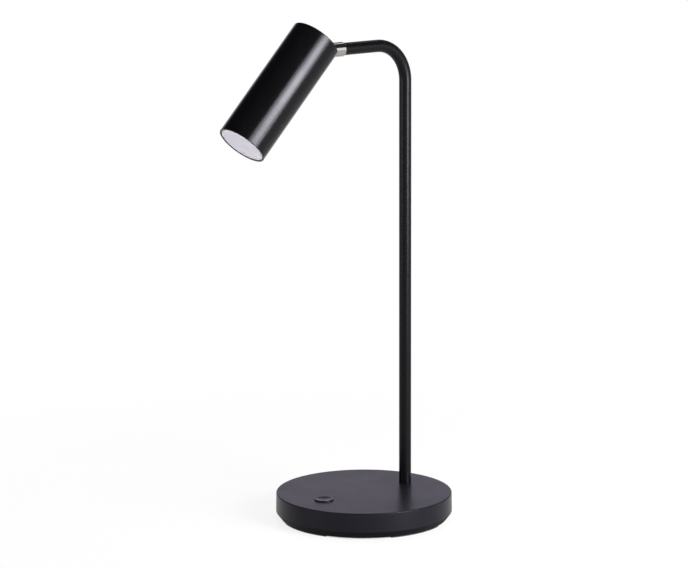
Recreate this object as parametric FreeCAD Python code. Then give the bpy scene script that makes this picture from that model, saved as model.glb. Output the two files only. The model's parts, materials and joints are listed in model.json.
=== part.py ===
"""Desk lamp with a round weighted base, a bent tube stem and a swivelling cylindrical LED head.

Millimetres, +Z up. The origin is the centre of the base where it stands on the table.
The lamp faces -Y: the button is at the front, the stem at the back, and the head hangs
from the arm's end over the front edge.
"""
import FreeCAD, Part
import math
import os

Vector = FreeCAD.Vector
X_AXIS = Vector(1, 0, 0)
Y_AXIS = Vector(0, 1, 0)
Z_AXIS = Vector(0, 0, 1)

# Clearances
fit_clearance = 0.05      # between pieces of one body that are pressed, screwed or slid together
running_clearance = 0.04  # shaft in bore, each side
moving_gap = 0.3          # between pieces of different bodies that pass each other
lead_slack = 0.4          # round a lead in its passage

# Base
base_radius = 72.1
base_draft = 0.3          # the wall is this much smaller in radius at its top
base_edge_round = 0.8
shell_top = 2.5
shell_wall = 2.2
skirt_height = 6.4        # table to the seam between wall and skirt
skirt_inset = 4.3         # how far the skirt draws in at its foot
tray_floor = 2.5
tray_lip_wall = 1.8
tray_lip_height = 2.0
foot_height = 0.9
foot_ring_width = 10.0
foot_ring_inset = 3.8     # from the skirt's foot to the ring between the lobes
foot_lobe_inset = 0.5     # from the skirt's foot to the lobes
foot_lobe_angle = 44.0
foot_lobe_count = 4
post_radius = 4.0
post_wall_gap = 2.0       # from the tray's lip to a cover post
cover_screw_count = 4
cover_screw_length = 12.0

# Ballast
ballast_thickness = 4.8
ballast_gap = 1.5         # from the cover posts to the plate's edge
ballast_slot_width = 34.0
ballast_bridge = 38.0     # plate left in front of the slot
ballast_screw_inset = 14.0
ballast_screw_count = 3
ballast_screw_floor = 0.75  # tray floor left under a ballast screw's end

# Stem and arm
stem_inset = 27.1         # from the base's wall to the stem's axis
tube_diameter = 10.0
tube_wall = 1.0
arm_height = 386.2        # table to the arm's axis
arm_reach = 66.6          # from the stem's axis to the arm's end
bend_radius = 30.0
seat_depth = 3.5
boss_floor = 2.5
boss_wall = 3.0
nipple_grip = 16.0        # length of the nipple inside the tube
nipple_tail = 0.5
washer_thickness = 1.0
washer_radius = 8.0
lock_washer_radius = 6.8
lock_washer_thickness = 1.0
lock_washer_gap = 1.0
nut_across_flats = 13.0
nut_height = 3.5

# Leads
lead_diameter = 2.4
lead_bend = 4.4
lead_exit_bend = 2.2      # where the lead leaves the neck
lead_gap = 0.5            # under the lead where it runs along the tray
lead_sweep = 12.0         # bend radius of the leads inside the base
lead_break = 1.0          # between the ends of leads that turn against each other

# Power button
button_inset = 29.3       # from the base's wall to the button's axis
button_diameter = 15.2
button_proud = 1.0
button_dish = 0.7
button_edge = 0.3
button_travel = 1.0
button_flange_width = 1.4
button_flange_height = 1.0
button_rod_diameter = 4.0
button_rod_length = 0.6

# Switch and boards
switch_size = 6.0
switch_height = 3.3
plunger_diameter = 3.2
plunger_height = 1.4
plunger_root = 1.0        # length of the plunger inside the switch at rest
board_width = 36.0
board_depth = 30.0
board_thickness = 1.6
board_screw_inset = 3.0
board_post_radius = 2.5
board_screw_length = 5.0
inductor_diameter = 8.0
inductor_height = 4.0
capacitor_diameter = 5.0
capacitor_height = 3.8
chip_size = 5.0
chip_height = 1.2
component_side = 12.6      # from the switch to the components, sideways
component_end = 4.2        # and towards the board's ends
plug_width = 7.0
plug_gap = 1.0
plug_depth = 5.0
plug_height = 3.4
inlet_board_width = 16.0
inlet_board_depth = 11.0
inlet_board_setback = 2.6  # from the wall's inner face to the board
inlet_height = 12.6        # table to the socket's axis
socket_width = 8.94
socket_height = 3.26
socket_depth = 7.4
socket_wall = 0.3
socket_recess = 0.9        # from the wall's outer face
socket_mouth_gap = 0.3
tongue_width = 6.7
tongue_height = 0.7
tongue_setback = 0.8

# Swivel between arm and head
arm_gap = 0.3             # between the arm's end and the collar
bush_length = 12.0
bush_wall = 1.0
neck_diameter = 8.0
collar_wall = 1.9
collar_length = 11.4
collar_chamfer = 0.6
wave_washer_thickness = 0.8
clip_thickness = 0.8
clip_groove = 0.5
spindle_tail = 1.0
corner_gap = 0.6          # between the collar's end and the head's corner as it tilts past
eye_radius = 5.5
eye_width = 7.0
tilt_pin_diameter = 4.0
tilt_pin_head_radius = 3.5
tilt_pin_head_height = 2.0
tilt_nut_across_flats = 7.0
tilt_nut_height = 2.6
tilt_washer_radius = 4.8
tilt_washer_thickness = 0.5
washer_gap = 0.05
slot_clearance = 0.4

# Head
head_turn = 1.5           # about the arm, light end towards -X, at rest
head_tilt = 43.5          # from hanging straight down, at rest
head_diameter = 40.7
head_length = 107.1
head_wall = 1.4
head_cap = 2.0
head_edge_round = 0.5
head_rim_round = 0.3
pivot_depth = 13.7        # from the head's top to the tilt pin
yoke_seat = 26.0          # from the head's top to the step that the yoke sits on
yoke_step = 0.7
yoke_disc = 3.0
yoke_cheek = 2.5
yoke_cheek_radius = 6.0
heat_sink_core = 9.0
fin_count = 16
fin_thickness = 1.2
led_board_thickness = 1.6
led_board_gap = 1.5
led_chip_size = 3.0
led_chip_height = 0.7
led_ring_radius = 5.5
led_ring_count = 6
led_screw_offset = 10.5
reflector_length = 17.3
reflector_throat = 13.5
reflector_wall = 1.0
diffuser_thickness = 2.8
diffuser_recess = 0.4
diffuser_bead = 0.3
diffuser_bead_width = 0.8
head_lead_offset = 13.0

# Screws: shank and head radius, head height
m3_shank = 1.5
m3_head_radius = 2.8
m3_head_height = 1.5
m25_shank = 1.25
m25_head_radius = 2.2
m25_head_height = 1.4

# Sizes worked out from the ones above
lead_radius = lead_diameter / 2
tube_radius = tube_diameter / 2
tube_bore = tube_radius - tube_wall
neck_radius = neck_diameter / 2
head_radius = head_diameter / 2
head_bore = head_radius - head_wall
foot_edge_radius = base_radius - skirt_inset
tray_bottom = foot_height
tray_top = tray_bottom + tray_floor
lead_level = tray_top + lead_gap + lead_radius
nipple_bottom = lead_level + lead_bend + lead_gap
nut_bottom = nipple_bottom + nipple_tail
lock_washer_bottom = nut_bottom + nut_height
washer_bottom = lock_washer_bottom + lock_washer_thickness
boss_bottom = washer_bottom + washer_thickness
seat_bottom = boss_bottom + boss_floor
base_height = seat_bottom + seat_depth
shell_under = base_height - shell_top
stem_y = base_radius - stem_inset
button_y = button_inset - base_radius
lip_outer = base_radius - shell_wall - fit_clearance - base_draft
lip_inner = lip_outer - tray_lip_wall
post_circle = lip_inner - post_wall_gap - post_radius
ballast_radius = post_circle - post_radius - ballast_gap
ballast_bottom = tray_top + fit_clearance
ballast_top = ballast_bottom + ballast_thickness
flange_bottom = shell_under - fit_clearance - button_flange_height
plunger_top = flange_bottom - button_rod_length
switch_top = plunger_top - plunger_height
board_top = switch_top - switch_height
arm_end = stem_y - arm_reach
corner_distance = math.hypot(pivot_depth, head_radius)
collar_back = arm_end - arm_gap
collar_front = collar_back - collar_length
pivot = Vector(0, collar_front - corner_gap - corner_distance, arm_height)
cheek_inner = eye_width / 2 + tilt_washer_thickness + 2 * washer_gap
cheek_outer = cheek_inner + yoke_cheek
spindle_radius = tube_bore - bush_wall - running_clearance
diffuser_top = head_length - diffuser_recess - diffuser_thickness
led_board_top = diffuser_top - reflector_length - led_board_thickness
heat_sink_top = yoke_seat + yoke_disc
heat_sink_length = led_board_top - heat_sink_top


def cylinder(radius, length, start, axis=Z_AXIS):
    return Part.makeCylinder(radius, length, start, axis)


def ring(outer, inner, length, start, axis=Z_AXIS):
    return cylinder(outer, length, start, axis).cut(cylinder(inner, length, start, axis))


def block(width, depth, height, centre):
    """A box centred in X and Y on a point, standing on that point's height."""
    corner = Vector(centre.x - width / 2, centre.y - depth / 2, centre.z)
    return Part.makeBox(width, depth, height, corner)


def revolved(outline):
    """A solid of revolution about Z from (radius, height) points."""
    points = [Vector(radius, 0, height) for radius, height in outline]
    face = Part.Face(Part.makePolygon(points + points[:1]))
    return face.revolve(Vector(0, 0, 0), Z_AXIS, 360)


def hexagon(across_flats, height, start, axis=Z_AXIS):
    """A hexagonal prism that stands on a point along an axis."""
    corner = across_flats / 2 / math.cos(math.pi / 6)
    angles = [math.radians(60 * index) for index in range(6)]
    points = [Vector(corner * math.cos(angle), corner * math.sin(angle), 0) for angle in angles]
    prism = Part.Face(Part.makePolygon(points + points[:1])).extrude(Z_AXIS * height)
    prism.Placement = FreeCAD.Placement(start, FreeCAD.Rotation(Z_AXIS, axis))
    return prism


def around(count, radius, first_angle=0.0):
    """Points spaced evenly on a circle about Z."""
    angles = [math.radians(first_angle + 360 / count * index) for index in range(count)]
    return [Vector(radius * math.cos(angle), radius * math.sin(angle), 0) for angle in angles]


def at_height(point, height):
    return Vector(point.x, point.y, height)


def round_edges(shape, radius, chosen):
    edges = [edge for edge in shape.Edges if chosen(edge)]
    return shape.makeFillet(radius, edges)


def is_circle_at(height, radius):
    """Tests for the whole circle about Z at a height and radius."""
    def test(edge):
        curve = edge.Curve
        return (isinstance(curve, Part.Circle) and abs(curve.Radius - radius) < 0.001
                and abs(curve.Center.z - height) < 0.001)
    return test


def screw(head_seat, axis, shank, length, head_radius, head_height):
    """A pan-head screw: its head stands behind the seat and its shank runs along the axis."""
    head = cylinder(head_radius, head_height, head_seat - axis * head_height, axis)
    body = head.fuse(cylinder(shank, length, head_seat, axis))
    key_hole = hexagon(head_radius, head_height / 2, head_seat - axis * head_height, axis)
    return body.cut(key_hole)


def path_wire(points, radii):
    """Straight runs joined by tangent arcs, one radius for each inner point."""
    edges = []
    start = points[0]
    for before, corner, after, radius in zip(points, points[1:], points[2:], radii):
        back = (before - corner).normalize()
        ahead = (after - corner).normalize()
        half_angle = back.getAngle(ahead) / 2
        reach = radius / math.tan(half_angle)
        middle = (back + ahead).normalize()
        arc_middle = corner + middle * (radius / math.sin(half_angle) - radius)
        arc_start = corner + back * reach
        arc_end = corner + ahead * reach
        edges.append(Part.LineSegment(start, arc_start).toShape())
        edges.append(Part.Arc(arc_start, arc_middle, arc_end).toShape())
        start = arc_end
    edges.append(Part.LineSegment(start, points[-1]).toShape())
    return Part.Wire(edges)


def rod_along(points, radii, radius):
    """A round rod that follows a path."""
    profile = Part.Wire(Part.makeCircle(radius, points[0], points[1] - points[0]))
    return path_wire(points, radii).makePipeShell([profile], True, False)


def cover_post_places():
    return around(cover_screw_count, post_circle, 180 / cover_screw_count)


def ballast_screw_places():
    return around(ballast_screw_count, ballast_radius - ballast_screw_inset, -90)


def board_post_places():
    half_x = board_width / 2 - board_screw_inset
    half_y = board_depth / 2 - board_screw_inset
    return [Vector(side * half_x, button_y + end * half_y, 0) for side in (-1, 1) for end in (-1, 1)]


def inlet_board_centre():
    wall_inside = base_radius - shell_wall - base_draft
    return Vector(0, wall_inside - inlet_board_setback - inlet_board_depth / 2, 0)


def inlet_board_top():
    return inlet_height - socket_height / 2


def inlet_post_places():
    centre = inlet_board_centre()
    half_x = inlet_board_width / 2 - board_screw_inset
    front = centre.y - inlet_board_depth / 2 + board_screw_inset
    return [Vector(side * half_x, front, 0) for side in (-1, 1)]


def base_shell():
    """The painted metal cup: top, wall, and the posts that hang inside it."""
    top_radius = base_radius - base_draft
    cup = revolved([
        (0, shell_under), (top_radius - shell_wall, shell_under), (base_radius - shell_wall, skirt_height),
        (base_radius, skirt_height), (top_radius, base_height), (0, base_height)])
    cup = round_edges(cup, base_edge_round, is_circle_at(base_height, top_radius))
    boss_radius = tube_radius + boss_wall
    additions = [cylinder(boss_radius, shell_under - boss_bottom, Vector(0, stem_y, boss_bottom))]
    post_bottom = tray_top + fit_clearance
    for place in cover_post_places():
        additions.append(cylinder(post_radius, shell_under - post_bottom, at_height(place, post_bottom)))
    for place in board_post_places():
        additions.append(cylinder(board_post_radius, shell_under - board_top, at_height(place, board_top)))
    for place in inlet_post_places():
        height = shell_under - inlet_board_top()
        additions.append(cylinder(board_post_radius, height, at_height(place, inlet_board_top())))
    shell = cup.multiFuse(additions).removeSplitter()
    seat = cylinder(tube_radius + fit_clearance, seat_depth, Vector(0, stem_y, seat_bottom))
    nipple_hole = cylinder(tube_bore + fit_clearance, boss_floor, Vector(0, stem_y, boss_bottom))
    button_hole = cylinder(button_diameter / 2 + moving_gap, shell_top, Vector(0, button_y, shell_under))
    mouth_width = socket_width + 2 * socket_mouth_gap
    mouth_height = socket_height + 2 * socket_mouth_gap
    mouth = rounded_bar(mouth_width, mouth_height, inlet_board_depth, Vector(0, base_radius, inlet_height))
    cuts = [seat, nipple_hole, button_hole, mouth]
    for place in cover_post_places():
        depth = cover_screw_length + fit_clearance
        cuts.append(cylinder(m3_shank + fit_clearance, depth, at_height(place, post_bottom)))
    for place in board_post_places():
        depth = board_screw_length - board_thickness + fit_clearance
        cuts.append(cylinder(m25_shank + fit_clearance, depth, at_height(place, board_top)))
    for place in inlet_post_places():
        depth = board_screw_length - board_thickness + fit_clearance
        cuts.append(cylinder(m25_shank + fit_clearance, depth, at_height(place, inlet_board_top())))
    return shell.cut(Part.makeCompound(cuts))


def rounded_bar(width, height, depth, front_centre):
    """A bar with round ends in X, that runs back along -Y from its front's centre and as far past it."""
    radius = height / 2
    core = Part.makeBox(width - height, 2 * depth, height,
                        Vector(-(width - height) / 2, front_centre.y - depth, front_centre.z - radius))
    ends = []
    for side in (-1, 1):
        place = Vector(side * (width - height) / 2, front_centre.y - depth, front_centre.z)
        ends.append(cylinder(radius, 2 * depth, place, Y_AXIS))
    return core.multiFuse(ends).removeSplitter()


def screw_recess_depth():
    """A cover screw's head sits in the tray's underside, clear of the foot ring."""
    return m3_head_height + fit_clearance


def base_tray():
    """The bottom cover, with the chamfered skirt and a lip inside the shell's wall."""
    lip_top = skirt_height + tray_lip_height
    tray = revolved([
        (0, tray_bottom), (foot_edge_radius, tray_bottom), (base_radius, skirt_height),
        (lip_outer, skirt_height), (lip_outer, lip_top), (lip_inner, lip_top), (lip_inner, tray_top),
        (0, tray_top)])
    cuts = []
    for place in cover_post_places():
        recess = screw_recess_depth()
        cuts.append(cylinder(m3_head_radius + fit_clearance, recess, at_height(place, tray_bottom)))
        cuts.append(cylinder(m3_shank + fit_clearance, tray_floor, at_height(place, tray_bottom)))
    for place in ballast_screw_places():
        depth = ballast_screw_bite() + fit_clearance
        cuts.append(cylinder(m3_shank + fit_clearance, depth, at_height(place, tray_top - depth)))
    return tray.cut(Part.makeCompound(cuts))


def ballast_screw_bite():
    """How far a ballast screw goes into the tray's floor without coming through."""
    return tray_floor - ballast_screw_floor


def foot_ring():
    """One rubber ring with four wider lobes that carry the lamp."""
    inner = foot_edge_radius - foot_ring_inset - foot_ring_width
    lobe_radius = foot_edge_radius - foot_lobe_inset
    centre = Vector(0, 0, 0)
    lobes = []
    for index in range(foot_lobe_count):
        lobe = Part.makeCylinder(lobe_radius, foot_height, centre, Z_AXIS, foot_lobe_angle)
        lobe.rotate(centre, Z_AXIS, 360 / foot_lobe_count * index - foot_lobe_angle / 2)
        lobes.append(lobe)
    disc = cylinder(foot_edge_radius - foot_ring_inset, foot_height, centre).multiFuse(lobes)
    return disc.cut(cylinder(inner, foot_height, centre)).removeSplitter()


def ballast_plate():
    """A horseshoe of steel plate on the tray, open round the stem's nut and the leads."""
    plate = cylinder(ballast_radius, ballast_thickness, Vector(0, 0, ballast_bottom))
    slot_start = ballast_bridge - ballast_radius
    slot = Part.makeBox(ballast_slot_width, 2 * ballast_radius, ballast_thickness,
                        Vector(-ballast_slot_width / 2, slot_start, ballast_bottom))
    holes = [cylinder(m3_shank + fit_clearance, ballast_thickness, at_height(place, ballast_bottom))
             for place in ballast_screw_places()]
    return plate.cut(Part.makeCompound([slot] + holes))


def cover_screws():
    seat = tray_bottom + screw_recess_depth()
    return [screw(at_height(place, seat), Z_AXIS, m3_shank, cover_screw_length,
                  m3_head_radius, m3_head_height) for place in cover_post_places()]


def ballast_screws():
    length = ballast_thickness + fit_clearance + ballast_screw_bite()
    return [screw(at_height(place, ballast_top), -Z_AXIS, m3_shank, length,
                  m3_head_radius, m3_head_height) for place in ballast_screw_places()]


def board_with_holes(width, depth, centre, places):
    board = block(width, depth, board_thickness, centre)
    holes = [cylinder(m25_shank + fit_clearance, board_thickness, at_height(place, centre.z))
             for place in places]
    return board.cut(Part.makeCompound(holes))


def control_board():
    centre = Vector(0, button_y, board_top - board_thickness)
    return board_with_holes(board_width, board_depth, centre, board_post_places())


def inlet_board():
    centre = at_height(inlet_board_centre(), inlet_board_top() - board_thickness)
    return board_with_holes(inlet_board_width, inlet_board_depth, centre, inlet_post_places())


def board_screws():
    """Six screws hold the two boards up against their posts."""
    levels = [(place, board_top) for place in board_post_places()]
    levels += [(place, inlet_board_top()) for place in inlet_post_places()]
    return [screw(at_height(place, level - board_thickness), Z_AXIS, m25_shank, board_screw_length,
                  m25_head_radius, m25_head_height) for place, level in levels]


def component_corner(side, end):
    """A place on the control board beside the switch: side and end are -1 or 1."""
    return Vector(side * component_side, button_y + end * component_end, board_top)


def lead_plug_centre(side):
    """Where a lead's plug stands on the control board's rear edge."""
    rear = button_y + board_depth / 2 - plug_depth / 2
    return Vector(side * (plug_width + plug_gap) / 2, rear, board_top)


def board_components():
    """Coil, capacitor, driver chips and the two lead plugs."""
    coil = cylinder(inductor_diameter / 2, inductor_height, component_corner(-1, -1))
    capacitor = cylinder(capacitor_diameter / 2, capacitor_height, component_corner(1, -1))
    chips = [block(chip_size, chip_size, chip_height, component_corner(side, 1)) for side in (-1, 1)]
    plugs = [block(plug_width, plug_depth, plug_height, lead_plug_centre(side)) for side in (-1, 1)]
    return [coil, capacitor] + chips + plugs


def tact_switch():
    """The switch's body, with a well that the plunger sinks into."""
    body = block(switch_size, switch_size, switch_height, Vector(0, button_y, board_top))
    well_depth = plunger_root + button_travel + moving_gap
    well_start = Vector(0, button_y, switch_top - well_depth)
    return body.cut(cylinder(plunger_diameter / 2 + moving_gap, well_depth, well_start))


def switch_plunger():
    length = plunger_height + plunger_root
    return cylinder(plunger_diameter / 2, length, Vector(0, button_y, plunger_top - length))


def power_button():
    """A dished cap with a flange under the base's top and a short rod on the switch."""
    radius = button_diameter / 2
    top = base_height + button_proud
    flange_radius = radius + moving_gap + button_flange_width
    cap = revolved([
        (0, plunger_top), (button_rod_diameter / 2, plunger_top), (button_rod_diameter / 2, flange_bottom),
        (flange_radius, flange_bottom), (flange_radius, flange_bottom + button_flange_height),
        (radius, flange_bottom + button_flange_height), (radius, top), (0, top)])
    cap = round_edges(cap, button_edge, is_circle_at(top, radius))
    dish_edge = radius - 2 * button_edge
    sphere_radius = (dish_edge ** 2 + button_dish ** 2) / (2 * button_dish)
    cap = cap.cut(Part.makeSphere(sphere_radius, Vector(0, 0, top - button_dish + sphere_radius)))
    cap.translate(Vector(0, button_y, 0))
    return cap


def usb_socket():
    """A reversible power socket, its mouth set back in the base's rear wall."""
    front = base_radius - socket_recess
    bottom = inlet_board_top()
    shell = rounded_bar(socket_width, socket_height, socket_depth / 2,
                        Vector(0, front - socket_depth / 2, bottom + socket_height / 2))
    hollow = rounded_bar(socket_width - 2 * socket_wall, socket_height - 2 * socket_wall, socket_depth / 2,
                         Vector(0, front - socket_depth / 2 + socket_wall, bottom + socket_height / 2))
    tongue_length = socket_depth - tongue_setback
    tongue = Part.makeBox(tongue_width, tongue_length, tongue_height,
                          Vector(-tongue_width / 2, front - socket_depth,
                                 bottom + socket_height / 2 - tongue_height / 2))
    return shell.cut(hollow).fuse(tongue).removeSplitter()


def stem_path(top_y):
    """The stem's axis, from its seat in the base up and round to a point on the arm."""
    points = [Vector(0, stem_y, seat_bottom), Vector(0, stem_y, arm_height), Vector(0, top_y, arm_height)]
    return points, [bend_radius]


def stem_tube():
    points, radii = stem_path(arm_end)
    outer = rod_along(points, radii, tube_radius)
    return outer.cut(rod_along(points, radii, tube_bore))


def stem_nipple():
    """The threaded pipe that clamps the stem to the base and lets the lead through."""
    start = Vector(0, stem_y, nipple_bottom)
    length = seat_bottom - nipple_bottom + nipple_grip
    return ring(tube_bore - fit_clearance, lead_radius + lead_slack, length, start)


def stem_washer():
    return ring(washer_radius, tube_bore + fit_clearance, washer_thickness, Vector(0, stem_y, washer_bottom))


def stem_lock_washer():
    """A split washer under the nut."""
    start = Vector(0, stem_y, lock_washer_bottom)
    washer = ring(lock_washer_radius, tube_bore + fit_clearance, lock_washer_thickness, start)
    split = Part.makeBox(2 * lock_washer_radius, lock_washer_gap, lock_washer_thickness,
                         Vector(0, stem_y - lock_washer_gap / 2, lock_washer_bottom))
    return washer.cut(split)


def stem_nut():
    start = Vector(0, stem_y, nut_bottom)
    hole = cylinder(tube_bore + fit_clearance, nut_height, start)
    return hexagon(nut_across_flats, nut_height, start).cut(hole)


def plug_axis_height():
    return board_top + plug_height / 2


def spindle_end():
    """The end of the neck's spindle, inside the arm behind the bush."""
    return arm_end + bush_length + washer_gap + wave_washer_thickness + clip_thickness + spindle_tail


def stem_lead():
    """From the control board along the base, up the stem and round to the swivel."""
    plug = lead_plug_centre(-1)
    plug_back = plug.y + plug_depth / 2
    slot_start = ballast_bridge - ballast_radius
    points = [
        Vector(plug.x, plug_back, plug_axis_height()),
        Vector(plug.x, (plug_back + slot_start) / 2, plug_axis_height()),
        Vector(0, slot_start + lead_sweep, lead_level),
        Vector(0, stem_y, lead_level),
        Vector(0, stem_y, arm_height),
        Vector(0, spindle_end() + lead_break, arm_height)]
    radii = [lead_bend, lead_sweep, lead_bend, bend_radius]
    return rod_along(points, radii, lead_radius)


def supply_lead():
    """From the inlet board round the stem's foot to the control board."""
    plug = lead_plug_centre(1)
    inlet = inlet_board_centre()
    run_x = inlet_board_width / 2 + lead_sweep
    plug_back = plug.y + plug_depth / 2
    points = [
        Vector(inlet_board_width / 2, inlet.y, inlet_height),
        Vector(run_x, inlet.y, inlet_height),
        Vector(run_x, plug_back + 2 * lead_sweep, inlet_height),
        Vector(plug.x, plug_back + lead_sweep / 2, plug_axis_height()),
        Vector(plug.x, plug_back, plug_axis_height())]
    return rod_along(points, [lead_sweep / 2, lead_sweep / 2, lead_bend], lead_radius)


def arm_bush():
    """The brass bearing pressed into the arm's end."""
    start = Vector(0, arm_end, arm_height)
    outer = tube_bore - fit_clearance
    return ring(outer, tube_bore - bush_wall, bush_length, start, Y_AXIS)


def lead_exit_distance():
    """From the tilt pin to where the lead leaves the neck, between the yoke and the cap."""
    return (yoke_cheek_radius + pivot_depth - head_cap) / 2


def swivel_neck():
    """The steel neck: a spindle in the arm, a rod through the head's slot and an eye on the pin."""
    spindle_start = Vector(0, collar_back, arm_height)
    spindle = cylinder(spindle_radius, spindle_end() - collar_back, spindle_start, Y_AXIS)
    groove_start = arm_end + bush_length + washer_gap + wave_washer_thickness
    groove_depth_radius = spindle_radius - clip_groove
    groove = ring(2 * spindle_radius, groove_depth_radius, clip_thickness,
                  Vector(0, groove_start, arm_height), Y_AXIS)
    rod = cylinder(neck_radius, collar_back - pivot.y, pivot, Y_AXIS)
    flat_length = yoke_cheek_radius + eye_width / 4
    for side in (-1, 1):
        flat = block(neck_diameter, 2 * flat_length, neck_diameter,
                     Vector(side * (eye_width / 2 + neck_radius), pivot.y, arm_height - neck_radius))
        rod = rod.cut(flat)
    eye = cylinder(eye_radius, eye_width, pivot - X_AXIS * (eye_width / 2), X_AXIS)
    neck = rod.multiFuse([spindle, eye]).removeSplitter()
    passage = lead_radius + lead_slack
    exit_y = pivot.y + lead_exit_distance()
    bore_end = exit_y - passage
    bore = cylinder(passage, spindle_end() - bore_end, Vector(0, bore_end, arm_height), Y_AXIS)
    window_length = 2 * passage + lead_exit_bend
    window = block(neck_diameter, window_length, 2 * passage,
                   Vector(-neck_radius, bore_end + window_length / 2, arm_height - passage))
    pin_radius = tilt_pin_diameter / 2 + running_clearance
    pin_hole = cylinder(pin_radius, eye_width, pivot - X_AXIS * (eye_width / 2), X_AXIS)
    return neck.cut(Part.makeCompound([groove, bore.fuse(window), pin_hole]))


def swivel_collar():
    """The bright sleeve on the neck, between the arm's end and the head."""
    outer = neck_radius + collar_wall
    inner = neck_radius + fit_clearance
    sleeve = revolved([
        (inner, 0), (outer - collar_chamfer, 0), (outer, collar_chamfer),
        (outer, collar_length - collar_chamfer), (outer - collar_chamfer, collar_length),
        (inner, collar_length)])
    along_arm = FreeCAD.Rotation(Z_AXIS, Y_AXIS)
    sleeve.Placement = FreeCAD.Placement(Vector(0, collar_front, arm_height), along_arm)
    return sleeve


def wave_washer():
    """The springy washer that gives the swivel its friction."""
    start = Vector(0, arm_end + bush_length + washer_gap, arm_height)
    outer = tube_bore - moving_gap
    return ring(outer, spindle_radius + fit_clearance, wave_washer_thickness, start, Y_AXIS)


def swivel_clip():
    """The open clip in the spindle's groove."""
    start = Vector(0, arm_end + bush_length + washer_gap + wave_washer_thickness, arm_height)
    inner = spindle_radius - clip_groove + fit_clearance
    clip = ring(tube_bore - moving_gap, inner, clip_thickness, start, Y_AXIS)
    mouth = block(inner, clip_thickness, tube_bore,
                  Vector(0, start.y + clip_thickness / 2, arm_height - tube_bore))
    return clip.cut(mouth)


def neck_lead():
    """The stretch of lead inside the neck, out through its side window."""
    exit_y = pivot.y + lead_exit_distance()
    points = [
        Vector(0, spindle_end(), arm_height),
        Vector(0, exit_y, arm_height),
        Vector(-neck_radius - lead_diameter, exit_y, arm_height)]
    return rod_along(points, [lead_exit_bend], lead_radius)


def depth(distance):
    """Height in the head's own frame, pin at zero, of a place so far below the head's top."""
    return pivot_depth - distance


def head_shell():
    """The head's tube and cap in one piece, slotted for the neck from the cap's middle to the back."""
    end = depth(head_length)
    seat = depth(yoke_seat)
    upper_bore = head_bore - yoke_step
    top = depth(0)
    bead = depth(diffuser_bead_top())
    groove = head_bore + diffuser_bead
    shell = revolved([
        (0, top - head_cap), (upper_bore, top - head_cap), (upper_bore, seat), (head_bore, seat),
        (head_bore, bead), (groove, bead), (groove, bead - diffuser_bead_width),
        (head_bore, bead - diffuser_bead_width), (head_bore, end), (head_radius, end), (head_radius, top),
        (0, top)])
    shell = round_edges(shell, head_edge_round, is_circle_at(top, head_radius))
    shell = round_edges(shell, head_rim_round, is_circle_at(end, head_radius))
    half_width = neck_radius + slot_clearance
    reach = head_diameter
    slot = Part.makeBox(2 * half_width, reach, reach, Vector(-half_width, 0, 0))
    up = cylinder(half_width, reach, Vector(0, 0, 0), Z_AXIS)
    back = cylinder(half_width, reach, Vector(0, 0, 0), Y_AXIS)
    return shell.cut(slot.multiFuse([up, back]))


def tilt_yoke():
    """A disc with two cheeks that hold the tilt pin."""
    seat = depth(yoke_seat)
    disc = cylinder(head_bore - fit_clearance, yoke_disc, Vector(0, 0, seat - yoke_disc))
    cheeks = []
    for side in (-1, 1):
        start = Vector(cheek_inner if side > 0 else -cheek_outer, 0, 0)
        foot = start + Vector(0, -yoke_cheek_radius, seat)
        tab = Part.makeBox(yoke_cheek, 2 * yoke_cheek_radius, -seat, foot)
        cheeks.append(tab.fuse(cylinder(yoke_cheek_radius, yoke_cheek, start, X_AXIS)))
    yoke = disc.multiFuse(cheeks).removeSplitter()
    pin_hole = cylinder(tilt_pin_diameter / 2 + fit_clearance, 2 * cheek_outer,
                        Vector(-cheek_outer, 0, 0), X_AXIS)
    lead_hole = cylinder(lead_radius + lead_slack, yoke_disc, Vector(-head_lead_offset, 0, seat - yoke_disc))
    holes = [cylinder(m25_shank + fit_clearance, yoke_disc, at_height(place, seat - yoke_disc))
             for place in yoke_screw_places()]
    return yoke.cut(Part.makeCompound([pin_hole, lead_hole] + holes))


def yoke_screw_places():
    """Two screws in line with the slot, between the cheeks."""
    return around(2, heat_sink_core - m25_head_radius, 90)


def yoke_screws():
    return [screw(at_height(place, depth(yoke_seat)), -Z_AXIS, m25_shank, yoke_disc + board_screw_length,
                  m25_head_radius, m25_head_height) for place in yoke_screw_places()]


def tilt_pin():
    """A shoulder screw across the yoke."""
    length = 2 * cheek_outer + tilt_nut_height
    shank = cylinder(tilt_pin_diameter / 2, length, Vector(cheek_outer, 0, 0), -X_AXIS)
    head = cylinder(tilt_pin_head_radius, tilt_pin_head_height, Vector(cheek_outer, 0, 0), X_AXIS)
    socket = hexagon(tilt_pin_head_radius, tilt_pin_head_height / 2,
                     Vector(cheek_outer + tilt_pin_head_height / 2, 0, 0), X_AXIS)
    return shank.fuse(head).cut(socket)


def tilt_nut():
    start = Vector(-cheek_outer, 0, 0)
    hole = cylinder(tilt_pin_diameter / 2 + fit_clearance, tilt_nut_height, start, -X_AXIS)
    return hexagon(tilt_nut_across_flats, tilt_nut_height, start, -X_AXIS).cut(hole)


def tilt_washers():
    """Friction washers between the neck's eye and the yoke's cheeks."""
    inner = tilt_pin_diameter / 2 + fit_clearance
    washers = []
    for side in (-1, 1):
        start = Vector(side * (eye_width / 2 + washer_gap), 0, 0)
        washers.append(ring(tilt_washer_radius, inner, tilt_washer_thickness, start, X_AXIS * side))
    return washers


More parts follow.
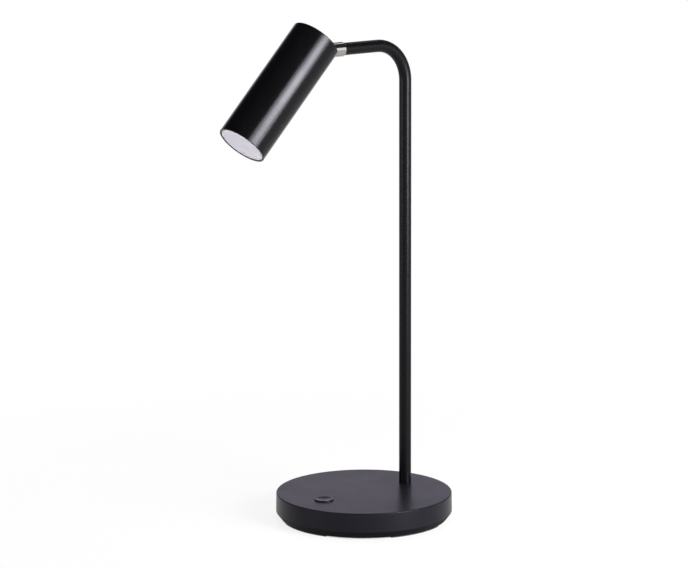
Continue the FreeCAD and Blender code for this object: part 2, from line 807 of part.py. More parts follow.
def heat_sink():
    """A finned aluminium core that fills the middle of the head."""
    bottom = depth(led_board_top)
    core = cylinder(heat_sink_core, heat_sink_length, Vector(0, 0, bottom))
    fin_length = head_bore - fit_clearance
    fins = []
    for index in range(fin_count):
        fin = Part.makeBox(fin_length, fin_thickness, heat_sink_length, Vector(0, -fin_thickness / 2, bottom))
        fin.rotate(Vector(0, 0, 0), Z_AXIS, 360 / fin_count * (index + 0.5))
        fins.append(fin)
    outline = cylinder(fin_length, heat_sink_length, Vector(0, 0, bottom))
    sink = core.multiFuse(fins).common(outline).removeSplitter()
    cuts = []
    for place in yoke_screw_places():
        hole_depth = board_screw_length + fit_clearance
        cuts.append(cylinder(m25_shank + fit_clearance, hole_depth,
                             at_height(place, depth(heat_sink_top) - hole_depth)))
    for place in led_screw_places():
        hole_depth = board_screw_length - led_board_thickness + fit_clearance
        cuts.append(cylinder(m25_shank + fit_clearance, hole_depth, at_height(place, bottom)))
    return sink.cut(Part.makeCompound(cuts))


def led_screw_places():
    """Two screws at the edge of the light opening, on the line of two fins."""
    return around(2, led_screw_offset, 180 / fin_count)


def led_board():
    bottom = depth(led_board_top + led_board_thickness)
    board = cylinder(head_bore - led_board_gap, led_board_thickness, Vector(0, 0, bottom))
    holes = [cylinder(m25_shank + fit_clearance, led_board_thickness, at_height(place, bottom))
             for place in led_screw_places()]
    return board.cut(Part.makeCompound(holes))


def led_screws():
    bottom = depth(led_board_top + led_board_thickness)
    return [screw(at_height(place, bottom), Z_AXIS, m25_shank, board_screw_length,
                  m25_head_radius, m25_head_height) for place in led_screw_places()]


def led_chips():
    """One light chip in the middle and a ring of them round it."""
    bottom = depth(led_board_top + led_board_thickness) - led_chip_height
    places = [Vector(0, 0, 0)] + around(led_ring_count, led_ring_radius, 90)
    return [block(led_chip_size, led_chip_size, led_chip_height, at_height(place, bottom))
            for place in places]


def diffuser_bead_top():
    return diffuser_top + diffuser_bead_width


def reflector():
    """A white cone from the LED board to the diffuser, with a flat flange on the board."""
    top = depth(led_board_top + led_board_thickness)
    bottom = depth(diffuser_top)
    rim = head_bore - fit_clearance
    return revolved([
        (reflector_throat, top), (rim, top), (rim, top - reflector_wall),
        (reflector_throat + reflector_wall, top - reflector_wall), (rim, bottom + reflector_wall),
        (rim, bottom), (rim - reflector_wall, bottom), (reflector_throat, top - reflector_wall)])


def diffuser():
    """The opal disc, snapped into the shell's groove by a bead round its edge."""
    bottom = depth(head_length - diffuser_recess)
    top = depth(diffuser_top)
    edge = head_bore - fit_clearance
    bead = depth(diffuser_bead_top())
    bead_bottom = bead - diffuser_bead_width
    return revolved([
        (0, bottom), (edge, bottom), (edge, bead_bottom + fit_clearance),
        (edge + diffuser_bead, bead_bottom + fit_clearance), (edge + diffuser_bead, bead - fit_clearance),
        (edge, bead - fit_clearance), (edge, top), (0, top)])


def head_lead():
    """From above the yoke, down between two fins to the LED board."""
    top = depth(yoke_seat) + lead_sweep / 2
    bottom = depth(led_board_top)
    return cylinder(lead_radius, top - bottom, Vector(-head_lead_offset, 0, bottom))


def in_neck_place(shape):
    """Turns a piece of the neck, made with its tilt pin level, about the arm."""
    shape.rotate(pivot, Y_AXIS, head_turn)
    return shape


def in_head_place(shape):
    """Tilts a piece of the head, made hanging with the pin at the origin, and carries it to the neck."""
    shape.rotate(Vector(0, 0, 0), -X_AXIS, head_tilt)
    shape.translate(pivot)
    return in_neck_place(shape)


def joined(pieces):
    return Part.makeCompound(pieces)


nodes = {
    "base_shell": base_shell(),
    "base_tray": base_tray(),
    "foot_ring": foot_ring(),
    "ballast_plate": ballast_plate(),
    "cover_screws": joined(cover_screws()),
    "ballast_screws": joined(ballast_screws()),
    "control_board": control_board(),
    "board_components": joined(board_components()),
    "inlet_board": inlet_board(),
    "board_screws": joined(board_screws()),
    "tact_switch": tact_switch(),
    "switch_plunger": switch_plunger(),
    "power_button": power_button(),
    "usb_socket": usb_socket(),
    "supply_lead": supply_lead(),
    "stem_tube": stem_tube(),
    "stem_nipple": stem_nipple(),
    "stem_washer": stem_washer(),
    "stem_lock_washer": stem_lock_washer(),
    "stem_nut": stem_nut(),
    "stem_lead": stem_lead(),
    "arm_bush": arm_bush(),
    "swivel_neck": in_neck_place(swivel_neck()),
    "swivel_collar": in_neck_place(swivel_collar()),
    "wave_washer": in_neck_place(wave_washer()),
    "swivel_clip": in_neck_place(swivel_clip()),
    "neck_lead": in_neck_place(neck_lead()),
    "head_shell": in_head_place(head_shell()),
    "tilt_yoke": in_head_place(tilt_yoke()),
    "yoke_screws": in_head_place(joined(yoke_screws())),
    "tilt_pin": in_head_place(tilt_pin()),
    "tilt_nut": in_head_place(tilt_nut()),
    "tilt_washers": in_head_place(joined(tilt_washers())),
    "heat_sink": in_head_place(heat_sink()),
    "led_board": in_head_place(led_board()),
    "led_screws": in_head_place(joined(led_screws())),
    "led_chips": in_head_place(joined(led_chips())),
    "reflector": in_head_place(reflector()),
    "diffuser": in_head_place(diffuser()),
    "head_lead": in_head_place(head_lead()),
}

os.makedirs("parts", exist_ok=True)
for name, shape in nodes.items():
    shape.exportStep("parts/" + name + ".step")
    state = "valid" if shape.isValid() else "NOT VALID"
    print(name, len(shape.Solids), "solids", round(shape.Volume, 1), "mm3", state)
print("tilt pin at", pivot, "base height", base_height, "arm end", arm_end)
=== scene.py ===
"""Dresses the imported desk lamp: turned and bent pieces, finishes, studio and camera.

Metres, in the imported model's own frame: the origin is under the middle of the base, -Y is the front.
"""
import json
import math

import bpy
from mathutils import Matrix, Vector


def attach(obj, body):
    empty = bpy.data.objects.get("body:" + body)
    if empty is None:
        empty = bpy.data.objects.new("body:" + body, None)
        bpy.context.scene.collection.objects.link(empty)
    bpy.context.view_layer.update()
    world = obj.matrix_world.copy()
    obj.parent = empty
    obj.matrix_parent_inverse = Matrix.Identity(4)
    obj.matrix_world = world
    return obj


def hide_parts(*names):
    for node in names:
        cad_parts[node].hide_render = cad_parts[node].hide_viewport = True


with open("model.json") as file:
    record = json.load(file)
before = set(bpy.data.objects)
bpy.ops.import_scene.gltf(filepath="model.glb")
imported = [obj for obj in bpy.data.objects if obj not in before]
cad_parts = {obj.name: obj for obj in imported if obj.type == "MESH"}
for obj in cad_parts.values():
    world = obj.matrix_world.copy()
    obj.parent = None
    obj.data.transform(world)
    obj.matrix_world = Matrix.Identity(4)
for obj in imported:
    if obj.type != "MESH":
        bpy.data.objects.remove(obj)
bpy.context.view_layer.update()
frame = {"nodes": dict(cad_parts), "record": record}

nodes = frame["nodes"]
joints = {joint["name"]: joint for joint in frame["record"]["behaviour"]["joints"]}
mm = 0.001

# Base
base_radius = 72.1 * mm
base_top_radius = 71.8 * mm
base_height = 22.0 * mm
base_edge_round = 0.8 * mm
base_edge_support = 1.6 * mm
shell_under = 19.5 * mm
shell_wall = 2.2 * mm
seam_height = 6.4 * mm
seam_round = 0.25 * mm
skirt_foot_radius = 67.8 * mm
skirt_foot_round = 0.3 * mm
tray_bottom = 0.9 * mm
tray_floor = 3.4 * mm
lip_outer = 69.55 * mm
lip_inner = 67.75 * mm
lip_top = 8.4 * mm
hole_cutter_length = 8.0 * mm

# Power button
button_y = -42.8 * mm
button_radius = 7.6 * mm
button_hole_radius = 7.9 * mm
button_hole_round = 0.3 * mm
button_top = 23.0 * mm
button_lip = 0.75 * mm
button_dish = 0.7 * mm
button_edge_round = 0.45 * mm
button_flange_radius = 9.3 * mm
button_flange_bottom = 18.45 * mm
button_flange_top = 19.45 * mm
dish_ring_shares = (1.0, 0.9, 0.75, 0.6, 0.45, 0.3, 0.15, 0.02)

# Power socket
socket_height = 12.6 * mm
socket_mouth_width = 9.54 * mm
socket_mouth_height = 3.86 * mm
socket_mouth_round = 0.49 * socket_mouth_height
socket_cutter_length = 12.0 * mm

# Stem and arm
stem_y = 45.0 * mm
stem_foot = 18.5 * mm
stem_hole_radius = 5.1 * mm
stem_hole_round = 0.15 * mm
tube_radius = 5.0 * mm
tube_bore = 4.0 * mm
arm_height = 386.2 * mm
arm_end = -21.6 * mm
bend_radius = 30.0 * mm
tube_end_round = 0.25 * mm
tube_end_depth = 4.0 * mm
weld_distance = 0.001 * mm

# Collar
collar_front = -33.3 * mm
collar_length = 11.4 * mm
collar_radius = 5.9 * mm
collar_bore = 4.05 * mm
collar_bore_depth = 0.8 * mm
collar_edge = 0.6 * mm

# Head, made hanging with its tilt pin at the origin
tilt_pin = Vector(joints["head_tilt"]["pos_m"])
head_turn = math.radians(1.5)
head_tilt = math.radians(43.5)
head_radius = 20.35 * mm
head_bore = 18.95 * mm
head_upper_bore = 18.25 * mm
head_top = 13.7 * mm
head_cap_under = 11.7 * mm
head_step = -12.3 * mm
head_rim = -93.4 * mm
head_edge_round = 0.5 * mm
head_edge_support = 1.2 * mm
head_rim_round = 0.3 * mm
head_rim_inner_round = 0.2 * mm
slot_half_width = 4.4 * mm
diffuser_face = -93.0 * mm
diffuser_back = -90.2 * mm
diffuser_radius = 18.9 * mm
diffuser_edge_round = 0.35 * mm
diffuser_edge_support = 0.8 * mm

# Fineness of the meshes
turned_segments = 192
tube_segments = 72
bend_steps = 40
smooth_angle = math.radians(38)
edge_slack = 0.02 * mm


def deselect_all():
    bpy.ops.object.select_all(action="DESELECT")


def make_active(piece):
    """Selects one piece alone and makes it the active one."""
    deselect_all()
    piece.select_set(True)
    bpy.context.view_layer.objects.active = piece


def near(value, target):
    return abs(value - target) < edge_slack


def start_disc(name, segments, radius, centre):
    """A flat disc in edit mode, with its edge selected ready to be drawn out."""
    deselect_all()
    bpy.ops.mesh.primitive_circle_add(
        vertices=segments, radius=radius, fill_type="NGON", enter_editmode=True)
    piece = bpy.context.object
    piece.name = name
    bpy.ops.transform.translate(value=centre)
    bpy.ops.mesh.select_mode(type="EDGE")
    bpy.ops.mesh.region_to_loop()
    return piece


def draw_out(step):
    """Extrudes the selected edge loop by a step."""
    bpy.ops.mesh.extrude_edges_move(TRANSFORM_OT_translate={"value": step})


def turned_piece(name, rings):
    """A closed turned shape about Z: a circle drawn out ring by ring, with a flat face at each end."""
    radius, height = rings[0]
    piece = start_disc(name, turned_segments, radius, (0, 0, height))
    for next_radius, next_height in rings[1:]:
        draw_out((0, 0, next_height - height))
        grow = next_radius / radius
        bpy.ops.transform.resize(value=(grow, grow, 1), center_override=(0, 0, next_height))
        radius, height = next_radius, next_height
    bpy.ops.mesh.edge_face_add()
    bpy.ops.mesh.select_all(action="SELECT")
    bpy.ops.mesh.normals_make_consistent(inside=False)
    bpy.ops.object.mode_set(mode="OBJECT")
    return piece


def select_edges(piece, chosen):
    """Leaves edit mode on, with the edges selected whose two ends are both chosen."""
    make_active(piece)
    bpy.ops.object.mode_set(mode="EDIT")
    bpy.ops.mesh.select_mode(type="EDGE")
    bpy.ops.mesh.select_all(action="DESELECT")
    bpy.ops.object.mode_set(mode="OBJECT")
    points = [vertex.co for vertex in piece.data.vertices]
    for edge in piece.data.edges:
        edge.select = all(chosen(points[index]) for index in edge.vertices)
    bpy.ops.object.mode_set(mode="EDIT")


def round_edges(piece, width, chosen, segments):
    """Bevels the chosen edges to a round."""
    select_edges(piece, chosen)
    bpy.ops.mesh.bevel(offset=width, offset_type="OFFSET", segments=segments, profile=0.5, affect="EDGES")
    bpy.ops.object.mode_set(mode="OBJECT")


def on_ring(radius, height, centre_y=0.0):
    """Tests for points on a circle about an upright axis."""
    def test(point):
        return near(math.hypot(point.x, point.y - centre_y), radius) and near(point.z, height)
    return test


def cut_with(piece, cutter):
    """Cuts a piece by another, which is then removed."""
    make_active(piece)
    cut = piece.modifiers.new("cut", "BOOLEAN")
    cut.operation = "DIFFERENCE"
    cut.solver = "EXACT"
    cut.object = cutter
    bpy.ops.object.modifier_apply(modifier=cut.name)
    bpy.data.objects.remove(cutter)


def round_cutter(radius, length, centre, turn=(0, 0, 0)):
    deselect_all()
    bpy.ops.mesh.primitive_cylinder_add(
        vertices=turned_segments, radius=radius, depth=length, location=centre, rotation=turn)
    return bpy.context.object


def block_cutter(size, centre):
    deselect_all()
    bpy.ops.mesh.primitive_cube_add(size=1, location=centre)
    block = bpy.context.object
    block.scale = size
    bpy.ops.object.transform_apply(location=True, rotation=True, scale=True)
    return block


def put_in_place(piece, rotation=(0, 0, 0), location=(0, 0, 0)):
    """Turns and moves a piece, then settles that into its mesh."""
    make_active(piece)
    piece.rotation_euler = rotation
    piece.location = location
    bpy.ops.object.transform_apply(location=True, rotation=True, scale=True)


def dress(piece, body, slot, material, *replaced):
    """Smooths a finished piece, gives it its material and joins it to a body."""
    make_active(piece)
    bpy.ops.object.shade_smooth_by_angle(angle=smooth_angle)
    even = piece.modifiers.new("even shading", "WEIGHTED_NORMAL")
    even.keep_sharp = True
    bpy.ops.object.modifier_apply(modifier=even.name)
    piece.data.materials.clear()
    piece.data.materials.append(material)
    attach(piece, body)
    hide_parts(*replaced)


def base_cup():
    """The base's painted top and wall, with holes for the button, the stem and the power socket."""
    support = base_top_radius - base_edge_support
    cup = turned_piece("base_cup", [
        (base_top_radius - shell_wall, shell_under), (base_radius - shell_wall, seam_height),
        (base_radius, seam_height), (base_top_radius, base_height), (support, base_height)])
    round_edges(cup, base_edge_round, on_ring(base_top_radius, base_height), segments=6)
    round_edges(cup, seam_round, on_ring(base_radius, seam_height), segments=3)
    cut_with(cup, round_cutter(button_hole_radius, hole_cutter_length, (0, button_y, base_height)))
    cut_with(cup, round_cutter(stem_hole_radius, hole_cutter_length, (0, stem_y, base_height)))
    mouth = block_cutter((socket_mouth_width, socket_cutter_length, socket_mouth_height),
                         (0, base_radius, socket_height))
    round_edges(mouth, socket_mouth_round, lambda point: True, segments=6)
    cut_with(cup, mouth)
    round_edges(cup, button_hole_round, on_ring(button_hole_radius, base_height, button_y), segments=3)
    round_edges(cup, stem_hole_round, on_ring(stem_hole_radius, base_height, stem_y), segments=2)
    return cup


def base_skirt():
    """The tray under the base, with its sloping skirt."""
    tray = turned_piece("base_skirt", [
        (skirt_foot_radius, tray_bottom), (base_radius, seam_height), (lip_outer, seam_height),
        (lip_outer, lip_top), (lip_inner, lip_top), (lip_inner, tray_floor)])
    round_edges(tray, skirt_foot_round, on_ring(skirt_foot_radius, tray_bottom), segments=3)
    round_edges(tray, seam_round, on_ring(base_radius, seam_height), segments=3)
    return tray


def push_button():
    """The raised button, its face dished for a fingertip."""
    dish_edge = button_radius - button_lip
    sphere = (dish_edge ** 2 + button_dish ** 2) / (2 * button_dish)
    dish_rings = []
    for share in dish_ring_shares:
        radius = dish_edge * share
        sag = sphere - math.sqrt(sphere ** 2 - radius ** 2)
        dish_rings.append((radius, button_top - button_dish + sag))
    button = turned_piece("push_button", [
        (button_flange_radius, button_flange_bottom), (button_flange_radius, button_flange_top),
        (button_radius, button_flange_top), (button_radius, button_top)] + dish_rings)
    round_edges(button, button_edge_round, on_ring(button_radius, button_top), segments=4)
    put_in_place(button, location=(0, button_y, 0))
    return button


def bent_stem():
    """The stem and arm: a tube drawn up from the base, spun through the bend and out to its end."""
    stem = start_disc("bent_stem", tube_segments, tube_radius, (0, stem_y, stem_foot))
    bend_height = arm_height - bend_radius
    bend_y = stem_y - bend_radius
    draw_out((0, 0, bend_height - stem_foot))
    bpy.ops.mesh.spin(
        steps=bend_steps, angle=-math.pi / 2, center=(0, bend_y, bend_height), axis=(1, 0, 0))
    draw_out((0, arm_end - bend_y, 0))
    narrow = tube_bore / tube_radius
    draw_out((0, 0, 0))
    bpy.ops.transform.resize(value=(narrow, 1, narrow), center_override=(0, arm_end, arm_height))
    draw_out((0, tube_end_depth, 0))
    bpy.ops.mesh.edge_face_add()
    bpy.ops.mesh.select_all(action="SELECT")
    bpy.ops.mesh.remove_doubles(threshold=weld_distance)
    bpy.ops.mesh.normals_make_consistent(inside=False)
    bpy.ops.object.mode_set(mode="OBJECT")

    def on_outer_end(point):
        across = math.hypot(point.x, point.z - arm_height)
        return near(point.y, arm_end) and near(across, tube_radius)

    round_edges(stem, tube_end_round, on_outer_end, segments=3)
    return stem


def nickel_collar():
    """The bright sleeve between the arm and the head."""
    collar = turned_piece("nickel_collar", [
        (collar_bore, collar_length - collar_bore_depth), (collar_bore, collar_length),
        (collar_radius, collar_length), (collar_radius, 0), (collar_bore, 0),
        (collar_bore, collar_bore_depth)])
    for height in (0, collar_length):
        round_edges(collar, collar_edge, on_ring(collar_radius, height), segments=4)
    put_in_place(collar, rotation=(-math.pi / 2, 0, 0), location=(0, collar_front, arm_height))
    return collar


def in_head_place(piece):
    put_in_place(piece, rotation=(-head_tilt, head_turn, 0), location=tilt_pin)
    return piece


def light_head():
    """The head's tube and cap in one, slotted from the middle of the cap down the back."""
    support = head_radius - head_edge_support
    head = turned_piece("light_head", [
        (head_upper_bore, head_cap_under), (head_upper_bore, head_step), (head_bore, head_step),
        (head_bore, head_rim), (head_radius, head_rim), (head_radius, head_top), (support, head_top)])
    round_edges(head, head_edge_round, on_ring(head_radius, head_top), segments=8)
    round_edges(head, head_rim_round, on_ring(head_radius, head_rim), segments=3)
    round_edges(head, head_rim_inner_round, on_ring(head_bore, head_rim), segments=2)
    reach = 2 * head_radius
    cut_with(head, round_cutter(slot_half_width, reach, (0, 0, reach / 2)))
    cut_with(head, round_cutter(slot_half_width, reach, (0, reach / 2, 0), (math.pi / 2, 0, 0)))
    cut_with(head, block_cutter((2 * slot_half_width, reach, reach), (0, reach / 2, reach / 2)))
    return in_head_place(head)


def opal_diffuser():
    """The pale disc that closes the light end."""
    support = diffuser_radius - diffuser_edge_support
    disc = turned_piece("opal_diffuser", [
        (support, diffuser_face), (diffuser_radius, diffuser_face), (diffuser_radius, diffuser_back)])
    round_edges(disc, diffuser_edge_round, on_ring(diffuser_radius, diffuser_face), segments=3)
    return in_head_place(disc)


# Finishes

def new_group(name, inputs, outputs):
    """An empty shader node group with named number inputs and number outputs."""
    group = bpy.data.node_groups.new(name, "ShaderNodeTree")
    for label, value in inputs:
        socket = group.interface.new_socket(label, in_out="INPUT", socket_type="NodeSocketFloat")
        socket.default_value = value
    for label in outputs:
        group.interface.new_socket(label, in_out="OUTPUT", socket_type="NodeSocketFloat")
    return group


def worked_out(tree, operation, first, second):
    """One number from two by a Math node. The second may be a plain number."""
    node = tree.nodes.new("ShaderNodeMath")
    node.operation = operation
    tree.links.new(first, node.inputs[0])
    if isinstance(second, float):
        node.inputs[1].default_value = second
    else:
        tree.links.new(second, node.inputs[1])
    return node.outputs[0]


def mapped(tree, source, start, end, low, high, way="LINEAR"):
    """A number moved from one range onto another, and kept inside it."""
    node = tree.nodes.new("ShaderNodeMapRange")
    node.interpolation_type = way
    for label, value in (("From Min", start), ("From Max", end), ("To Min", low), ("To Max", high)):
        node.inputs[label].default_value = value
    tree.links.new(source, node.inputs["Value"])
    return node.outputs["Result"]


def speck_noise(tree, scale, detail):
    """Noise on the piece's own coordinates, at a scale that a socket gives."""
    place = tree.nodes.new("ShaderNodeTexCoord")
    noise = tree.nodes.new("ShaderNodeTexNoise")
    noise.inputs["Detail"].default_value = detail
    tree.links.new(place.outputs["Object"], noise.inputs["Vector"])
    tree.links.new(scale, noise.inputs["Scale"])
    return noise


def grain_group():
    """Fine powder grain: two sizes of speck, as a height and as a mask about one half."""
    group = new_group("powder grain", [("Fine Scale", 2400.0), ("Coarse Scale", 900.0)], ["Height", "Mask"])
    inside = group.nodes.new("NodeGroupInput")
    outside = group.nodes.new("NodeGroupOutput")
    fine = speck_noise(group, inside.outputs["Fine Scale"], detail=2.0)
    coarse = speck_noise(group, inside.outputs["Coarse Scale"], detail=1.0)
    both = worked_out(group, "ADD", fine.outputs["Fac"], coarse.outputs["Fac"])
    group.links.new(worked_out(group, "MULTIPLY", both, 0.5), outside.inputs["Height"])
    group.links.new(fine.outputs["Fac"], outside.inputs["Mask"])
    return group


def handling_group():
    """Broad faint smudges, where fingers and cloths have been."""
    group = new_group("handling", [("Scale", 30.0)], ["Mask"])
    inside = group.nodes.new("NodeGroupInput")
    outside = group.nodes.new("NodeGroupOutput")
    smudge = speck_noise(group, inside.outputs["Scale"], detail=4.0)
    smudge.inputs["Roughness"].default_value = 0.6
    smudge.inputs["Distortion"].default_value = 0.8
    group.links.new(smudge.outputs["Fac"], outside.inputs["Mask"])
    return group


grain = grain_group()
handling = handling_group()
mask_low, mask_high = 0.3, 0.7
smudge_strength = 0.02
grain_depth = 0.03 * mm


def spread(tree, source, low, high):
    """Maps a mask about one half onto a range."""
    return mapped(tree, source, mask_low, mask_high, low, high)


def two_tones(tree, source, dark, light):
    """A colour between two tones, by a mask."""
    node = tree.nodes.new("ShaderNodeMix")
    node.data_type = "RGBA"
    node.inputs["A"].default_value = (*dark, 1)
    node.inputs["B"].default_value = (*light, 1)
    tree.links.new(spread(tree, source, 0, 1), node.inputs["Factor"])
    return node.outputs["Result"]


def coated(name, dark, light, roughness, bump, ior=1.5, metallic=0.0, tint=(1, 1, 1)):
    """A grained finish: two close tones, broken gloss and a fine bump, with faint handling marks."""
    material = bpy.data.materials.new(name)
    material.use_nodes = True
    tree = material.node_tree
    shader = tree.nodes["Principled BSDF"]
    shader.inputs["IOR"].default_value = ior
    shader.inputs["Metallic"].default_value = metallic
    shader.inputs["Specular Tint"].default_value = (*tint, 1)
    specks = tree.nodes.new("ShaderNodeGroup")
    specks.node_tree = grain
    smudges = tree.nodes.new("ShaderNodeGroup")
    smudges.node_tree = handling
    gloss = spread(tree, specks.outputs["Mask"], *roughness)
    dulled = spread(tree, smudges.outputs["Mask"], -smudge_strength, smudge_strength)
    tree.links.new(worked_out(tree, "ADD", gloss, dulled), shader.inputs["Roughness"])
    tree.links.new(two_tones(tree, specks.outputs["Mask"], dark, light), shader.inputs["Base Color"])
    relief = tree.nodes.new("ShaderNodeBump")
    relief.inputs["Strength"].default_value = bump
    relief.inputs["Distance"].default_value = grain_depth
    tree.links.new(specks.outputs["Height"], relief.inputs["Height"])
    tree.links.new(relief.outputs["Normal"], shader.inputs["Normal"])
    return material


violet_gloss = (0.93, 0.9, 1.0)
base_paint = coated("base paint", (0.0042, 0.0040, 0.0062), (0.0070, 0.0067, 0.0100), (0.31, 0.39),
                    bump=0.15, ior=1.22, tint=violet_gloss)
stem_paint = coated("stem paint", (0.0018, 0.0018, 0.0022), (0.0034, 0.0034, 0.0040), (0.25, 0.33),
                    bump=0.15, ior=1.2, tint=violet_gloss)
head_paint = coated("head paint", (0.0024, 0.0024, 0.0027), (0.0042, 0.0041, 0.0047), (0.16, 0.22),
                    bump=0.1, ior=1.22, tint=violet_gloss)
skirt_plastic = coated("skirt plastic", (0.003, 0.003, 0.0036), (0.005, 0.005, 0.0058), (0.5, 0.62),
                       bump=0.3, ior=1.1)
button_plastic = coated("button plastic", (0.005, 0.0048, 0.006), (0.008, 0.0078, 0.0095), (0.28, 0.38),
                        bump=0.15, ior=1.31, tint=violet_gloss)
collar_nickel = coated("collar nickel", (0.34, 0.325, 0.31), (0.40, 0.385, 0.37), (0.11, 0.16),
                       bump=0.02, metallic=1.0)
opal = coated("opal", (0.64, 0.61, 0.68), (0.68, 0.65, 0.72), (0.35, 0.42), bump=0.05)
foot_rubber = coated("foot rubber", (0.012, 0.012, 0.013), (0.02, 0.02, 0.021), (0.7, 0.85), bump=0.4)
zinc = coated("zinc plate", (0.42, 0.42, 0.43), (0.55, 0.55, 0.57), (0.3, 0.42), bump=0.1, metallic=1.0)
brass = coated("turned brass", (0.62, 0.47, 0.22), (0.72, 0.57, 0.3), (0.25, 0.35), bump=0.1, metallic=1.0)
bare_aluminium = coated("bare aluminium", (0.66, 0.66, 0.67), (0.76, 0.76, 0.77), (0.35, 0.45),
                        bump=0.1, metallic=1.0)
solder_mask = coated("solder mask", (0.012, 0.09, 0.035), (0.02, 0.13, 0.05), (0.3, 0.4), bump=0.1)
moulding = coated("black moulding", (0.012, 0.012, 0.013), (0.02, 0.02, 0.022), (0.4, 0.5), bump=0.15)
lead_cover = coated("lead cover", (0.015, 0.015, 0.016), (0.024, 0.024, 0.026), (0.5, 0.6), bump=0.15)
white_moulding = coated("white moulding", (0.76, 0.76, 0.75), (0.82, 0.82, 0.81), (0.4, 0.5), bump=0.1)
phosphor = coated("phosphor", (0.75, 0.58, 0.12), (0.85, 0.68, 0.18), (0.25, 0.35), bump=0.05)

carried_over = {
    "foot_ring": foot_rubber, "ballast_plate": zinc, "cover_screws": zinc, "ballast_screws": zinc,
    "control_board": solder_mask, "board_components": moulding, "inlet_board": solder_mask,
    "board_screws": zinc, "tact_switch": moulding, "switch_plunger": moulding, "usb_socket": zinc,
    "supply_lead": lead_cover, "stem_nipple": zinc, "stem_washer": zinc, "stem_lock_washer": zinc,
    "stem_nut": zinc, "stem_lead": lead_cover, "arm_bush": brass, "swivel_neck": stem_paint,
    "wave_washer": zinc, "swivel_clip": zinc, "neck_lead": lead_cover, "tilt_yoke": zinc,
    "yoke_screws": zinc, "tilt_pin": zinc, "tilt_nut": zinc, "tilt_washers": white_moulding,
    "heat_sink": bare_aluminium, "led_board": white_moulding, "led_screws": zinc, "led_chips": phosphor,
    "reflector": white_moulding, "head_lead": lead_cover}
for node, material in carried_over.items():
    nodes[node].data.materials.clear()
    nodes[node].data.materials.append(material)

dress(base_cup(), "stand", "base_paint", base_paint, "base_shell")
dress(base_skirt(), "stand", "tray_plastic", skirt_plastic, "base_tray")
dress(push_button(), "button", "button_black", button_plastic, "power_button")
dress(bent_stem(), "stand", "stem_paint", stem_paint, "stem_tube")
dress(nickel_collar(), "neck", "collar_nickel", collar_nickel, "swivel_collar")
dress(light_head(), "head", "head_paint", head_paint, "head_shell")
dress(opal_diffuser(), "head", "diffuser_opal", opal, "diffuser")


# Studio floor, with distances from the middle of the base
floor_size = 40.0
floor_white = (0.86, 0.86, 0.86, 1)
floor_roughness = 0.9
shadow_near, shadow_far = 0.1, 0.6
glow_near_base = 0.85
dark_ring_inner = skirt_foot_radius - 6 * mm
dark_ring_outer = skirt_foot_radius + 1.5 * mm

# Studio surroundings: heights are sines of the elevation, edges are cosines from the wall's bearing
wall_bearing = 230
wall_tint = (0.88, 0.82, 1.0, 1)
wall_top = 0.24
overhead_tint = (0.12, 0.12, 0.13, 1)
overhead_from = 0.43
wall_edge, wall_middle = 0.8, 0.97
side_level, wall_level = 0.38, 1.28


def floor():
    """A floor that shows as white, keeps a faint shadow near the lamp and is dark under the base."""
    deselect_all()
    bpy.ops.mesh.primitive_plane_add(size=floor_size)
    ground = bpy.context.object
    ground.name = "floor"
    material = bpy.data.materials.new("white floor")
    material.use_nodes = True
    tree = material.node_tree
    shader = tree.nodes["Principled BSDF"]
    shader.inputs["Base Color"].default_value = floor_white
    shader.inputs["Roughness"].default_value = floor_roughness
    shader.inputs["Specular IOR Level"].default_value = 0.0
    glow = tree.nodes.new("ShaderNodeEmission")
    path = tree.nodes.new("ShaderNodeLightPath")
    seen = worked_out(tree, "MAXIMUM", path.outputs["Is Camera Ray"], path.outputs["Is Glossy Ray"])
    seen_through = worked_out(tree, "MAXIMUM", seen, path.outputs["Is Transmission Ray"])
    place = tree.nodes.new("ShaderNodeTexCoord")
    away = tree.nodes.new("ShaderNodeVectorMath")
    away.operation = "LENGTH"
    tree.links.new(place.outputs["Object"], away.inputs[0])
    clear = mapped(tree, away.outputs["Value"], shadow_near, shadow_far, glow_near_base, 1.0, "SMOOTHSTEP")
    under = mapped(tree, away.outputs["Value"], dark_ring_inner, dark_ring_outer, 0.0, 1.0, "SMOOTHSTEP")
    open_floor = worked_out(tree, "MULTIPLY", clear, under)
    mix = tree.nodes.new("ShaderNodeMixShader")
    tree.links.new(worked_out(tree, "MULTIPLY", seen_through, open_floor), mix.inputs["Fac"])
    tree.links.new(shader.outputs["BSDF"], mix.inputs[1])
    tree.links.new(glow.outputs["Emission"], mix.inputs[2])
    tree.links.new(mix.outputs["Shader"], tree.nodes["Material Output"].inputs["Surface"])
    ground.data.materials.append(material)


def direction(azimuth, elevation):
    """A unit vector towards a bearing: 0 is the front, 90 the lamp's +X side."""
    turn, rise = math.radians(azimuth), math.radians(elevation)
    return Vector((math.sin(turn) * math.cos(rise), -math.cos(turn) * math.cos(rise), math.sin(rise)))


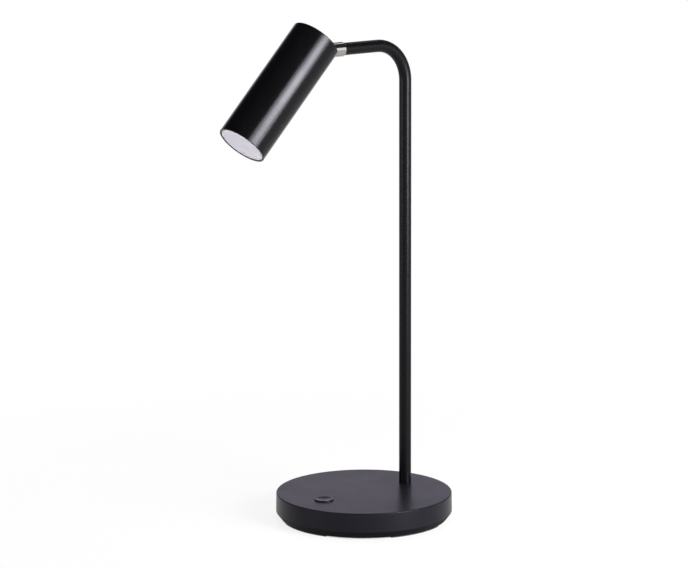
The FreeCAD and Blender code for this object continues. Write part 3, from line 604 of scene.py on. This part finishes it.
def surroundings():
    """Soft light from all round: a pale wall behind, dimmer at the sides and dark overhead."""
    world = bpy.data.worlds.new("studio")
    bpy.context.scene.world = world
    world.use_nodes = True
    tree = world.node_tree
    place = tree.nodes.new("ShaderNodeTexCoord")
    split = tree.nodes.new("ShaderNodeSeparateXYZ")
    ramp = tree.nodes.new("ShaderNodeValToRGB")
    low, high = ramp.color_ramp.elements
    low.position = wall_top
    low.color = wall_tint
    high.position = overhead_from
    high.color = overhead_tint
    facing = tree.nodes.new("ShaderNodeVectorMath")
    facing.operation = "DOT_PRODUCT"
    facing.inputs[1].default_value = direction(wall_bearing, 0)
    background = tree.nodes["Background"]
    tree.links.new(place.outputs["Generated"], split.inputs[0])
    tree.links.new(split.outputs["Z"], ramp.inputs["Fac"])
    tree.links.new(ramp.outputs["Color"], background.inputs["Color"])
    tree.links.new(place.outputs["Generated"], facing.inputs[0])
    level = mapped(tree, facing.outputs["Value"], wall_edge, wall_middle, side_level, wall_level,
                   "SMOOTHSTEP")
    tree.links.new(level, background.inputs["Strength"])


def softbox(name, azimuth, elevation, distance, width, height, power, tilt=0):
    """An area lamp that faces the middle of the stem from a bearing, tilted in its own plane."""
    middle = Vector((0, 0, 0.2))
    light = bpy.data.lights.new(name, "AREA")
    light.shape = "RECTANGLE"
    light.size = width
    light.size_y = height
    light.energy = power
    box = bpy.data.objects.new(name, light)
    towards = direction(azimuth, elevation)
    box.location = middle + towards * distance
    level = towards.to_track_quat("Z", "Y").to_matrix()
    box.rotation_euler = (level @ Matrix.Rotation(math.radians(tilt), 3, "Z")).to_euler()
    box.visible_camera = False
    bpy.context.scene.collection.objects.link(box)


def camera():
    """The photograph's view: 50 degrees round from the front, 11 degrees above the table."""
    azimuth, elevation, roll = 49.6, 10.62, math.radians(-0.2)
    position = Vector((1.7505, -1.5105, 0.628))
    back = direction(azimuth, elevation)
    level = Vector((math.cos(math.radians(azimuth)), math.sin(math.radians(azimuth)), 0))
    rise = back.cross(level)
    right = level * math.cos(roll) + rise * math.sin(roll)
    up = rise * math.cos(roll) - level * math.sin(roll)
    data = bpy.data.cameras.new("camera")
    data.lens = 152.3
    data.sensor_width = 36.0
    view = bpy.data.objects.new("camera", data)
    turned = Matrix((right, up, back)).transposed()
    view.matrix_world = Matrix.Translation(position) @ turned.to_4x4()
    bpy.context.scene.collection.objects.link(view)
    bpy.context.scene.camera = view


floor()
surroundings()

# The head's highlight: three strips in line, one behind the other, so that its ends are soft
for distance, length, power in ((1.34, 1.16, 12.5), (1.3, 0.74, 9.4), (1.26, 0.4, 5.6)):
    softbox("side strip", azimuth=100, elevation=19, distance=distance, width=length, height=0.18,
            power=power, tilt=-45)
softbox("collar panel", azimuth=132, elevation=18, distance=1.2, width=0.3, height=0.55, power=0.8)
softbox("low strip", azimuth=101, elevation=-0.8, distance=1.2, width=0.45, height=0.1, power=12)
softbox("front strip", azimuth=-14, elevation=-1, distance=1.6, width=0.08, height=0.3, power=4.5)
softbox("top light", azimuth=230, elevation=70, distance=1.8, width=1.2, height=1.2, power=20)
camera()

bpy.context.scene.view_settings.view_transform = "Standard"
